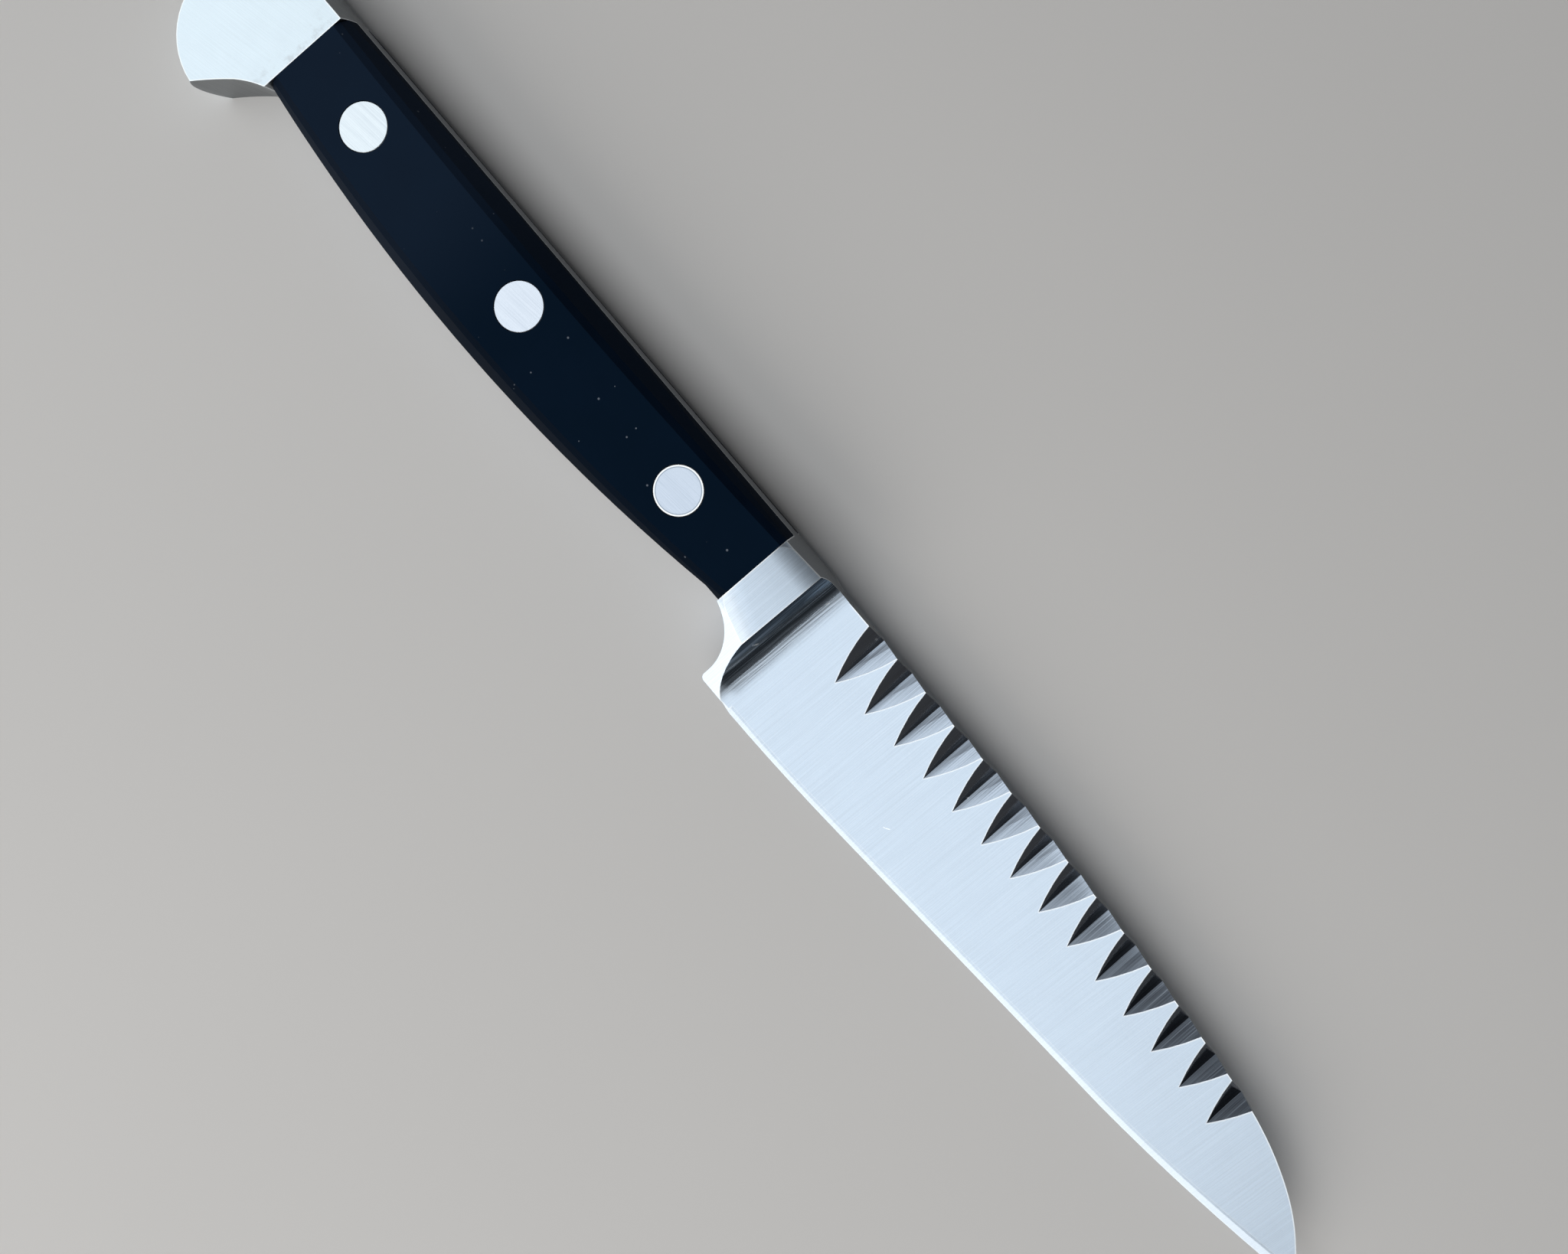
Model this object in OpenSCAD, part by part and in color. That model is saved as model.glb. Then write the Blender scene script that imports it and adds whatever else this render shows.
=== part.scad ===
// Forged decorating knife: fluted back, plain cutting edge, full tang, two riveted scales.
// It lies on its side. X runs from butt to tip, Y points to the fluted back, Z is the thickness.

/* [Blade] */
// Length of the blade, from the crest of the bolster to the tip
blade_len = 100; // [90:1:125]
// Height of the blade at the heel, from the back to the cutting edge
blade_h = 20.7; // [19:0.1:23]
// Thickness of the blade at the heel, along the back
back_t = 2; // [1.9:0.05:2.6]
// Thickness of the blade at the last flute, along the back
nose_t = 1.75; // [1.7:0.05:2.4]
// Thickness of the blade where the ground bevel starts, at the heel
shoulder_t = 0.7; // [0.5:0.05:1]
// Thickness left at the cutting edge
edge_t = 0.1; // [0.05:0.01:0.2]
// Slope of the ground bevel on each side, in degrees
bevel_angle = 17; // [14:1:24]
// Length of the back that runs straight before it bows down
back_straight = 32; // [20:1:45]
// Radius of the bowed part of the back
back_r = 450; // [300:10:800]
// Radius of the nose
nose_r = 42; // [36:1:50]
// Radius of the last stretch before the tip
point_r = 26; // [22:0.5:32]

/* [Flutes] */
// Distance between two flutes on one side
flute_pitch = 5.26; // [4.8:0.01:6]
// Distance from the crest of the bolster to the first flute
flute_first = 10.85; // [9:0.05:14]
// Least distance from the last flute to the tip
flute_last = 19; // [17:0.5:30]
// Length of a middle flute, from the back to its point
flute_len = 7; // [6:0.1:8]
// Radius of the grinding wheel that cuts the flutes
wheel_r = 33; // [28:0.5:45]
// Distance from the point of a flute to the axis of the wheel, seen from above
wheel_reach = 9.8; // [9:0.1:10.2]
// Angle between the two flanks of a flute
flute_angle = 114; // [110:1:124]
// Radius of the curve on which the points of the flutes lie
flute_row_r = 600; // [400:10:1200]

/* [Bolster] */
// Length of the bolster, from the scales to its crest
bolster_len = 6.1; // [5.5:0.1:9]
// How much lower the bolster is at its crest, on each side
bolster_drop = 1; // [0.5:0.1:1.3]
// Radius of the cove between bolster and blade
cove_r = 5.2; // [4.5:0.1:6]
// Radius of the finger notch
notch_r = 7.5; // [7:0.05:8.2]
// Height of the flat of the bolster, before it rolls over to the lug
bolster_flat = 10.4; // [9.5:0.1:11]
// Radius of the roll-over
roll_r = 4; // [2:0.1:5]
// Slope of the lug behind the roll-over, in degrees
lug_slope = 28; // [25:0.5:30]
// Radius of the corner of the lug
lug_corner_r = 0.7; // [0.4:0.1:1]

/* [Handle] */
// Thickness over both scales
handle_t = 11; // [10:0.1:14]
// Thickness of the tang
tang_t = 3; // [2.4:0.1:4]
// Length of the scales
scale_len = 85.4; // [80:0.1:95]
// Greatest height of the handle
handle_h = 16.45; // [15.5:0.05:18]
// Distance from the bolster to the deepest point of the belly
belly_at = 48; // [44:1:52]
// Radius of the belly
belly_r = 250; // [230:5:300]
// How far the narrow sides of the handle bulge
side_bulge = 0.6; // [0.4:0.05:1]
// Lean of the seam at the butt cap, in degrees
seam_lean = 2.5; // [0:0.5:4]
// Gap at each end of a scale
seam_gap = 0.05; // [0.02:0.01:0.1]
// Radius of the lower rear corner of a scale
scale_corner_r = 0.7; // [0.5:0.1:1.5]

/* [Eased edges of the scales] */
// Width of the eased edge in the middle of the handle, seen from above
ease_w = 2.65; // [2:0.05:3.2]
// Width from the ridge of the eased edge to the side
ridge_w = 1.75; // [1.4:0.05:1.9]
// Drop from the face to the ridge
ridge_drop = 0.55; // [0.3:0.05:0.8]
// Depth at which the eased edge meets the side
ease_depth = 3; // [2.4:0.1:3.6]
// Radius of the eased edge along the back of the handle
back_ease_r = 1000; // [800:50:1600]
// Radius of the eased edge along the belly
belly_ease_r = 324; // [300:1:350]

/* [Butt cap] */
// Length of the butt cap beyond the scales
cap_len = 18.1; // [16:0.1:20]
// Radius of the rounded end, at its widest
cap_r = 11.4; // [10.8:0.1:11.9]
// How far the rounded end bulges
cap_bulge = 1.2; // [0.8:0.05:1.4]
// How far the beak's point lies behind the widest place of the rounded end
beak_back = 2.1; // [1.2:0.1:3]

/* [Rivets] */
// Diameter of a rivet head
head_d = 6.5; // [5.5:0.1:7]
// Thickness of a rivet head
head_t = 1.3; // [1:0.1:1.6]
// Outer diameter of the tube half of a rivet
tube_d = 4.2; // [3.8:0.1:4.6]
// Diameter of the pin half of a rivet
pin_d = 2.6; // [2:0.1:2.9]
// Distance from the bolster to the front rivet
rivet_first = 13.15; // [10:0.05:15]
// Distance from the rear rivet to the butt cap
rivet_last = 12.05; // [9:0.05:15]
// Distance from the back to the front rivet
rivet_drop = 6.65; // [6.2:0.05:7.2]
// How much further the rear rivet is from the back
rivet_fall = 0.65; // [0:0.05:1]
// Gap round a head and a shank
rivet_gap = 0.03; // [0.02:0.01:0.08]
// Depth of the empty end of a tube, past the tip of its pin
pin_end_gap = 0.6; // [0.3:0.1:1]

/* [Hidden] */

// How far a cutter reaches past what it cuts, and the length of one that clears the whole height
past = 1;
clear = 60;

// Half the thickness and the main places along X, with the front seam of the scales at 0
half_t = handle_t / 2;
crest_x = bolster_len;
tip_x = crest_x + blade_len;
// The blade's back lies a little below the back of the handle
back_y = -0.35;
// The cove dips this far into the blade's face, so that the two surfaces cross
cove_sink = 0.01;
cove_z = cove_r + back_t / 2 - cove_sink;
cove_x = crest_x + sqrt(cove_r * cove_r - pow(cove_z - half_t + bolster_drop, 2));
heel_step = 0.35;
heel_x = cove_x + heel_step;
last_flute_x = tip_x - flute_last;
cap_end_x = -scale_len - cap_len;
cap_x = cap_end_x + cap_r;
// The rounded end of the butt cap sits a little lower than the back of the handle
cap_dip = 0.2;
cap_y = cap_bulge - cap_r - cap_dip;
beak = [cap_x - beak_back, cap_y - sqrt(cap_r * cap_r - beak_back * beak_back)];

// The origin lies under the middle of the whole knife
shift = [-(tip_x + cap_end_x) / 2, -beak[1] / 2, half_t];

// The blade's flat face: its half thickness at a point seen from above
bevel_w = (shoulder_t - edge_t) / 2 / tan(bevel_angle);
face_slope = (back_t - shoulder_t) / 2 / (blade_h - bevel_w);
face_taper = (back_t - nose_t) / 2 / (last_flute_x - heel_x);
function face_z(x, y) = back_t / 2 - face_taper * (x - heel_x) + face_slope * (y - back_y);

// Points on a shallow arc from p to q that bulges to the right by sag. The last point is left out
function bow(p, q, sag, n) = [for (i = [0:n - 1]) let (t = i / n, d = q - p, l = norm(d))
    p + d * t + [d[1], -d[0]] / l * 4 * sag * t * (1 - t)];

// Points on a round arc in n steps. With first = 1 its first point is left out
function arc(c, r, a0, a1, n, first = 0) = [for (i = [first:n]) let (a = a0 + (a1 - a0) * i / n)
    c + r * [cos(a), sin(a)]];

// The back bows down from bow_x, turns into the nose at nose_x and into the point at point_x
nose_len = 22;
point_len = 9;
bow_x = crest_x + back_straight;
nose_x = tip_x - nose_len;
point_x = tip_x - point_len;
bow_a = asin((nose_x - bow_x) / back_r);
nose_a = asin(sin(bow_a) + (point_x - nose_x) / nose_r);
nose_y = back_y - back_r * (1 - cos(bow_a));
point_y = nose_y - nose_r * (cos(bow_a) - cos(nose_a));
// The last arc ends at the tip, or short of upright where the range of sizes would pass that
upright = 0.98;
point_a = asin(min(upright, sin(nose_a) + point_len / point_r));
tip_y = point_y - point_r * (cos(nose_a) - cos(point_a));

// The cutting edge: a short bow at the heel, a straight stretch and a longer bow to the tip
heel = [heel_x, back_y - blade_h];
tip = [tip_x, tip_y];
edge_fall = (tip_y - heel[1]) / (tip_x - heel_x);
heel_bow = 19;
heel_bow_low = 0.86;
heel_sag = 0.14;
tip_bow = 29.7;
tip_bow_low = 1.62;
tip_sag = 0.4;
edge_a = heel + [heel_bow, heel_bow * edge_fall - heel_bow_low];
edge_b = tip - [tip_bow, tip_bow * edge_fall + tip_bow_low];
edge_line = concat(bow(heel, edge_a, heel_sag, 5), [edge_a], bow(edge_b, tip, tip_sag, 8), [tip]);

// The lug's low side lies this far above the heel. The blade starts inside the bolster
lug_lift = 0.3;
lug_y = heel[1] + lug_lift;
root_x = crest_x + past;

function blade_outline() = concat(
    [[root_x, back_y], [root_x, lug_y + lug_lift]],
    edge_line,
    arc([point_x - point_r * sin(nose_a), point_y - point_r * cos(nose_a)], point_r,
        90 - point_a, 90 - nose_a, 10, 1),
    arc([nose_x - nose_r * sin(bow_a), nose_y - nose_r * cos(bow_a)], nose_r,
        90 - nose_a, 90 - bow_a, 10, 1),
    arc([bow_x, back_y - back_r], back_r, 90 - bow_a, 90, 12, 1)
);

// Everything above one flat face of the blade
module above_face() {
    translate([heel_x, back_y, back_t / 2])
        rotate([atan(face_slope), atan(face_taper), 0])
            translate([-clear, -clear, 0])
                cube([clear + blade_len, 2 * clear, half_t]);
}

// Everything above the ground bevel along the straight stretch of edge from p to q, and before it
module above_bevel(p, q, before) {
    d = q - p;
    translate([p[0], p[1], edge_t / 2])
        rotate([0, 0, atan2(d[1], d[0])])
            rotate([bevel_angle, 0, 0])
                translate([-before, -4 * bevel_w, 0])
                    cube([before + norm(d) + past, 8 * bevel_w, half_t]);
}

// The flat, tapered blade with its bevels, still without flutes
module blade_blank() {
    difference() {
        linear_extrude(height = back_t + past, center = true)
            polygon(blade_outline());
        for (s = [0, 1]) {
            mirror([0, 0, s]) {
                above_face();
                for (i = [0:len(edge_line) - 2])
                    above_bevel(edge_line[i], edge_line[i + 1], i == 0 ? 3 * past : past);
            }
        }
    }
}

// The rim of the wheel that grinds one flute with its point at (x, y) on the upper face
module flute_wheel(x, y) {
    rim = 3;
    spread = rim * tan(flute_angle / 2);
    translate([x, y + wheel_reach, face_z(x, y) + sqrt(wheel_r * wheel_r - wheel_reach * wheel_reach)])
        rotate([0, 90, 0])
            rotate_extrude($fn = 360)
                polygon([[wheel_r, 0], [wheel_r - rim, spread], [wheel_r - rim, -spread]]);
}

// The points of the flutes lie on a wide curve, whose lowest part lies nearer the heel than the tip
row_shift = 3;
row_mid_x = (crest_x + flute_first + last_flute_x) / 2 - row_shift;
function flute_y(x) = back_y - flute_len - pow(x - row_mid_x, 2) / (2 * flute_row_r);
flute_n = floor((last_flute_x - crest_x - flute_first) / flute_pitch);

// Flutes on the upper side, and on the lower side half a pitch further, which makes the zigzag
module flutes() {
    for (i = [0:flute_n]) {
        x = crest_x + flute_first + i * flute_pitch;
        flute_wheel(x, flute_y(x));
    }
    for (i = [0:flute_n - 1]) {
        x = crest_x + flute_first + (i + 0.5) * flute_pitch;
        mirror([0, 0, 1]) flute_wheel(x, flute_y(x));
    }
}

// Cross section of the handle's back: flat faces, with a bulging side at Y = 0
side_r = (half_t * half_t + side_bulge * side_bulge) / (2 * side_bulge);
side_a = asin(half_t / side_r);

// A bar along X from x0 to x1 with that section, deeper than the knife
module back_bar(x0, x1) {
    translate([x1, 0, 0])
        rotate([0, -90, 0])
            linear_extrude(height = x1 - x0)
                polygon(concat([for (p = arc([-side_r, 0], side_r, -side_a, side_a, 16)) [p[1], p[0]]],
                    [[half_t, -clear], [-half_t, -clear]]));
}

// Height of the belly at the bolster and at the butt cap, and where the rear seam meets it there
notch_top_y = -handle_h + belly_at * belly_at / (2 * belly_r);
belly_rear_y = -handle_h + pow(scale_len - belly_at, 2) / (2 * belly_r);
seam_low_x = -scale_len + belly_rear_y * tan(seam_lean);

// A wide disc whose rim is the bulging belly of the handle
module belly_disc() {
    translate([-belly_at, -handle_h + belly_r, 0])
        rotate_extrude($fn = 720)
            polygon(concat([[belly_r - clear, -half_t]],
                arc([belly_r - side_r, 0], side_r, -side_a, side_a, 16),
                [[belly_r - clear, half_t]]));
}

// The belly of the handle: the disc, and a short straight foot next to the bolster
foot_len = 4;
foot_drop = 0.4;
foot_y = notch_top_y - foot_drop;

module belly() {
    belly_disc();
    translate([0, foot_y, 0]) mirror([0, 1, 0]) back_bar(-foot_len, 0);
}

// Everything behind the rear seam, which leans
module behind_seam(gap) {
    translate([-scale_len + gap, 0, 0])
        rotate([0, 0, -seam_lean])
            translate([-clear, -clear, -handle_t])
                cube([clear, 2 * clear, 2 * handle_t]);
}

// Bolster: plan with finger notch and lug, cut by its section and by the coves
notch_x = -1.9;
notch_lift = 0.2;
notch_y = notch_top_y - notch_r + notch_lift;
lug_x = notch_x + notch_r;
// Where the crest ends at the back
crest_end_x = crest_x - 1;

module bolster_plan() {
    difference() {
        polygon([[0, past], [0, lug_y], [cove_x, lug_y], [cove_x, back_y - cove_sink],
            [crest_end_x, 0], [crest_end_x, past]]);
        translate([notch_x, notch_y]) circle(r = notch_r, $fn = 180);
        translate([-past, lug_y - past]) square([past + lug_x, past + notch_y - lug_y]);
        difference() {
            translate([lug_x - past, lug_y - past]) square(past + lug_corner_r);
            translate([lug_x + lug_corner_r, lug_y + lug_corner_r]) circle(r = lug_corner_r, $fn = 64);
        }
    }
}

// The bolster's upper side, seen along the knife, from the lug to the back, as [y, z]
back_roll_at = 2;
back_roll_r = 4.5;
back_roll_end = 55;
lug_run = -bolster_flat - roll_r * sin(lug_slope) - (lug_y - past);
lug_end = half_t - roll_r * (1 - cos(lug_slope)) - lug_run * tan(lug_slope);
bolster_top = concat(
    [[lug_y - past, lug_end]],
    arc([-bolster_flat, half_t - roll_r], roll_r, 90 + lug_slope, 90, 6),
    arc([-back_roll_at, half_t - back_roll_r], back_roll_r, 90, back_roll_end, 7),
    [[past, half_t / 2]]
);

module bolster_section() {
    n = len(bolster_top);
    rotate([0, -90, 0])
        linear_extrude(height = 2 * cove_x, center = true)
            intersection() {
                polygon(concat([for (p = arc([-side_r, 0], side_r, -side_a, side_a, 16)) [p[1], p[0]]],
                    [[half_t, -clear], [-half_t, -clear]]));
                polygon(concat([for (p = bolster_top) [p[1], p[0]]],
                    [for (i = [n - 1:-1:0]) [-bolster_top[i][1], bolster_top[i][0]]]));
            }
}

module bolster() {
    difference() {
        intersection() {
            linear_extrude(height = handle_t, center = true) bolster_plan();
            bolster_section();
        }
        for (s = [0, 1]) {
            mirror([0, 0, s]) {
                translate([0, -clear, half_t])
                    rotate([0, atan(bolster_drop / bolster_len), 0])
                        cube([2 * cove_x, 2 * clear, half_t]);
                translate([cove_x, back_y, cove_z])
                    rotate([90 + atan(face_slope), 0, 0])
                        translate([0, 0, -past])
                            cylinder(r = cove_r, h = clear, $fn = 180);
            }
        }
    }
}

// Butt cap: a disc with a bulging rim, filled out to the seam, with the beak's inner side cut away
cap_side_r = (half_t * half_t + cap_bulge * cap_bulge) / (2 * cap_bulge);
cap_side_a = asin(half_t / cap_side_r);

// The beak's inner side bows from the seam over beak_mid, and ends straight through the beak's point
beak_root = [seam_low_x, belly_rear_y];
beak_mid = beak_root - [3.4, 2.3];
beak_angle = 49;
beak_dir = [cos(beak_angle), sin(beak_angle)];
beak_end = beak + 1.2 * beak_dir;
beak_out = beak - 0.5 * beak_dir;
beak_sag = [0.15, 0.1];

function beak_cut() = concat(
    [[past, beak_root[1]]],
    bow(beak_root, beak_mid, beak_sag[0], 5),
    bow(beak_mid, beak_end, beak_sag[1], 5),
    [beak_end, beak_out, beak_out - [0, past], [past, beak_out[1] - past]]
);

// The filling between the rounded end and the seam stays clear of the beak's point
fill_y = beak[1] + 1.5;

module butt_cap() {
    difference() {
        intersection() {
            back_bar(cap_end_x - past, -scale_len + past);
            union() {
                translate([cap_x, cap_y, 0])
                    rotate_extrude($fn = 360)
                        polygon(concat([[0, -half_t]],
                            arc([cap_r - cap_side_r, 0], cap_side_r, -cap_side_a, cap_side_a, 12),
                            [[0, half_t]]));
                translate([cap_x, fill_y, -half_t])
                    cube([-scale_len + past - cap_x, past - fill_y, handle_t]);
            }
            behind_seam(0);
        }
        linear_extrude(height = handle_t + past, center = true) polygon(beak_cut());
    }
}

// Tang: the same outline as the scales
module tang() {
    intersection() {
        back_bar(-scale_len - past, past);
        belly();
        translate([-scale_len - past, -clear, -tang_t / 2])
            cube([scale_len + 2 * past, 2 * clear, tang_t]);
    }
}

// The three rivets are equally spaced and sink a little towards the butt
rivet_pitch = (scale_len - rivet_first - rivet_last) / 2;
function rivet_pos(i) = [-rivet_first - i * rivet_pitch, -rivet_drop - i * rivet_fall / 2, 0];

// The whole forging, from butt cap to tip
module blade() {
    color("lightsteelblue")
        translate(shift)
            difference() {
                union() {
                    difference() {
                        blade_blank();
                        flutes();
                    }
                    bolster();
                    tang();
                    butt_cap();
                }
                for (i = [0:2])
                    translate(rivet_pos(i))
                        cylinder(d = tube_d + 2 * rivet_gap, h = handle_t, center = true, $fn = 96);
            }
}

// A ring that cuts the eased edge along the back of a scale
ease_foot = 0.1;

module back_ease() {
    r = back_ease_r;
    side = r - ease_w;
    translate([-belly_at, side, 0])
        rotate_extrude($fn = 1440)
            polygon([[side - handle_t, half_t + past], [r, half_t + past], [r, half_t],
                [side + ridge_w, half_t - ridge_drop], [side + ease_foot, half_t - ease_depth],
                [side - handle_t, half_t - ease_depth]]);
}

// A ring that holds what the eased edge along the belly leaves of a scale
module belly_ease() {
    r = belly_ease_r;
    translate([-belly_at, -handle_h + r, 0])
        rotate_extrude($fn = 720)
            polygon([[r - clear, 0], [r + past, 0], [r + past, half_t - ease_depth - past],
                [r, half_t - ease_depth], [r - ridge_w, half_t - ridge_drop], [r - ease_w, half_t],
                [r - clear, half_t]]);
}

// What is rounded off the lower rear corner of a scale
corner_turn = -5;

module scale_corner() {
    translate([seam_low_x + seam_gap, belly_rear_y])
        rotate([0, 0, corner_turn])
            linear_extrude(height = handle_t)
                difference() {
                    translate([-past, -past]) square(past + scale_corner_r);
                    translate([scale_corner_r, scale_corner_r]) circle(r = scale_corner_r, $fn = 64);
                }
}

// One scale, with a stepped hole for each rivet
module scale_blank() {
    difference() {
        intersection() {
            back_bar(-scale_len - past, -seam_gap);
            belly();
            belly_ease();
            translate([-scale_len - past, -clear, tang_t / 2])
                cube([scale_len + 2 * past, 2 * clear, half_t - tang_t / 2]);
        }
        behind_seam(seam_gap);
        scale_corner();
        back_ease();
        for (i = [0:2])
            translate(rivet_pos(i)) {
                cylinder(d = tube_d + 2 * rivet_gap, h = handle_t, $fn = 96);
                translate([0, 0, half_t - head_t])
                    cylinder(d = head_d + 2 * rivet_gap, h = head_t + past, $fn = 128);
            }
    }
}

module upper_scale() {
    color("#141d2b") translate(shift) scale_blank();
}

module lower_scale() {
    color("#141d2b") translate(shift) mirror([0, 0, 1]) scale_blank();
}

// Rivet halves: a headed tube from below and a headed pin pressed into it from above
head_edge = 0.12;

module rivet_head() {
    rotate_extrude($fn = 128)
        polygon([[0, half_t - head_t], [head_d / 2, half_t - head_t], [head_d / 2, half_t - head_edge],
            [head_d / 2 - head_edge, half_t], [0, half_t]]);
}

module rivet_tube(i) {
    color("gainsboro")
        translate(shift + rivet_pos(i))
            mirror([0, 0, 1])
                difference() {
                    union() {
                        rivet_head();
                        translate([0, 0, head_t - half_t])
                            cylinder(d = tube_d, h = handle_t - 2 * head_t, $fn = 96);
                    }
                    translate([0, 0, -half_t])
                        cylinder(d = pin_d + 2 * rivet_gap, h = handle_t - head_t, $fn = 64);
                }
}

module rivet_pin(i) {
    color("gainsboro")
        translate(shift + rivet_pos(i))
            union() {
                rivet_head();
                translate([0, 0, head_t - half_t + pin_end_gap])
                    cylinder(d = pin_d, h = handle_t - 2 * head_t - pin_end_gap + head_edge, $fn = 64);
            }
}

blade();
upper_scale();
lower_scale();
rivet_tube(2);  // rear_rivet_tube
rivet_pin(2);  // rear_rivet_pin
rivet_tube(1);  // middle_rivet_tube
rivet_pin(1);  // middle_rivet_pin
rivet_tube(0);  // front_rivet_tube
rivet_pin(0);  // front_rivet_pin
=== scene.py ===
"""Looks of the forged decorating knife: satin steel, dark riveted scales, and a plain studio round it."""

import math

import bpy
from bpy.props import FloatProperty, FloatVectorProperty
from mathutils import Matrix, Vector


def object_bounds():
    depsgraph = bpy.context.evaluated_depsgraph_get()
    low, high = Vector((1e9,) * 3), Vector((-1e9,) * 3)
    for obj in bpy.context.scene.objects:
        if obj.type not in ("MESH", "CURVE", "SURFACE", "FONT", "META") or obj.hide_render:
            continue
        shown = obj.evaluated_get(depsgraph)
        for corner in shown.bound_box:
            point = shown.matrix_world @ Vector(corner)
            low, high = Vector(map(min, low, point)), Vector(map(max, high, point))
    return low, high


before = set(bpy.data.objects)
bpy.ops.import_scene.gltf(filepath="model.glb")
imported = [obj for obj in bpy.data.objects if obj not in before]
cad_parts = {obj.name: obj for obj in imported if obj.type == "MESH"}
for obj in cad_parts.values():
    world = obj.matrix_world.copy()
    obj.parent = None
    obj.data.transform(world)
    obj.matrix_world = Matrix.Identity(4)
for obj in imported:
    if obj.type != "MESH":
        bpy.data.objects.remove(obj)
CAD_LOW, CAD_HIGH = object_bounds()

bl_info = {
    "name": "Decorating knife",
    "version": (1, 0, 0),
    "blender": (4, 5, 0),
    "location": "3D View > Sidebar > Knife",
    "description": "Finishes the forged decorating knife and sets up its studio",
    "category": "Object",
}

MM = 0.001

# The knife is measured from its front seam, its back and the middle of its thickness.
# This is where that point lies in the frame.
SEAM_X = CAD_HIGH.x - 106.1 * MM
BACK_Y = CAD_HIGH.y
MIDDLE_Z = (CAD_LOW.z + CAD_HIGH.z) / 2

FORGING = ("blade",)
SCALES = ("upper_scale", "lower_scale")
RIVETS = (
    "rear_rivet_tube", "rear_rivet_pin",
    "middle_rivet_tube", "middle_rivet_pin",
    "front_rivet_tube", "front_rivet_pin",
)

# The zones of the forging. Each border is given as where its zone begins and where it is complete.
# Along the knife:
BOLSTER_START = (-0.2 * MM, 0.0)
BOLSTER_END = (7.5 * MM, 7.2 * MM)
COVE_START = (5.4 * MM, 5.6 * MM)
COVE_END = (11.6 * MM, 10.4 * MM)
COVE_OUTER = (8.8 * MM, 9.2 * MM)
COVE_CORE = (8.9 * MM, 8.0 * MM)
BLADE_START = (10.6 * MM, 11.4 * MM)
BEVEL_START = (9.5 * MM, 11.0 * MM)
# Where the painted shade on the flutes' flanks that face the butt grows towards the tip
FLUTE_SHADE_TO_TIP = (34 * MM, 72 * MM)
CAP_START = (-84 * MM, -85 * MM)
SMUDGE_START = (-89.0 * MM, -86.3 * MM)
# Across it:
FLUTE_ROW = (-11 * MM, -9.5 * MM)
COVE_FOOT = (-20.0 * MM, -18.0 * MM)
# Under the blade's face:
FLUTE_DEPTH = (0.02 * MM, 0.05 * MM)
# By the way the surface faces:
COVE_FACING = (0.25, 0.40)
FLANK_FACING = (0.2, 0.4)
BEVEL_FACING = (-0.06, -0.12)
WALL_FACING = (0.2, 0.6)
UPRIGHT_FACING = (0.62, 0.40)
# For the worn edges, which also get a painted highlight:
WORN_HIGHLIT_EDGE_FACING = (-0.35, -0.10)
# By how well the rounded normal agrees with the face's own:
WORN_HIGHLIT_EDGE_AGREEMENT = (0.998, 0.985)

# The zones of a scale, given in the same way
# Where the painted light on the plastic towards the butt begins and is complete
BUTT_PAINTED_LIGHT_START = (-42 * MM, -62 * MM)
DUSTY_START = (-55 * MM, -40 * MM)
SIDE_FACING = (0.70, 0.45)
BELOW_FACING = (-0.08, -0.30)

# The front rivet's groove and collar, by the distance from its middle
GROOVE = (2.78 * MM, 2.90 * MM)
COLLAR = (2.90 * MM, 3.02 * MM)
# Between these distances from the front and rear rivets' middles, their tints give way to the middle one's
RIVET_TINT_END = (6 * MM, 8 * MM)

# The blade's flat face: half its thickness at the measuring point, and how it thins to the tip and the edge
FACE_HEIGHT = 1.03 * MM
FACE_TAPER = 0.00165
FACE_SLOPE = 0.0330
# The flutes on the upper side: the first one's place along the knife, and their pitch
FIRST_FLUTE = 16.95 * MM
FLUTE_PITCH = 5.26 * MM
# The bolster is crowned, gently over its height and harder near the back: reach below the back, slope there
CROWNS = ((12.5 * MM, 0.12), (3.6 * MM, 0.17))
# Above the lug it leans the other way, along a slanted line: from and to below the back, and the slope
LUG_LEAN = (7.6 * MM, 10.7 * MM, 0.30)
LUG_SLANT = 0.38
# The upper part of the cutting bevel is rounded into the face: full and no rounding by depth, and the slope
SHOULDER = (0.07 * MM, 0.11 * MM, 0.18)

# Grinding lines: how many to the metre, the breaks in them to the metre, and the share of coarse ones.
# The number of lines on the blade is a setting of the steel.
BLADE_LINES = (70.0, 0.25)
CAP_LINES = (12000.0, 80.0, 0.2)
FLUTE_LINES = (7000.0, 22.0, 0.3)
COVE_LINES = (3600.0, 25.0, 0.4)
RIVET_LINES = (9000.0, 130.0, 0.3)

# Small scratches in the steel: place in mm, angle in degrees, length and width in mm
SCRATCHES = (
    ((34.7, -15.0), 38, 0.75, 0.09),
    ((34.3, -15.25), 25, 0.4, 0.07),
    ((7.1, -12.3), 65, 0.8, 0.12),
    ((6.9, -12.6), 120, 0.4, 0.10),
    ((9.0, -2.4), 80, 0.7, 0.10),
    ((16.2, -0.9), 100, 0.35, 0.22),
    ((37.9, -5.0), 30, 0.4, 0.12),
)

# Tints that are blended into the steel
DARK_LINE = (0.035, 0.045, 0.06, 1)
BRIGHT_LINE = (0.88, 0.95, 1.0, 1)
CLOUD = (0.4, 0.45, 0.52, 1)
BARE_STEEL = (0.95, 0.98, 1.0, 1)
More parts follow.
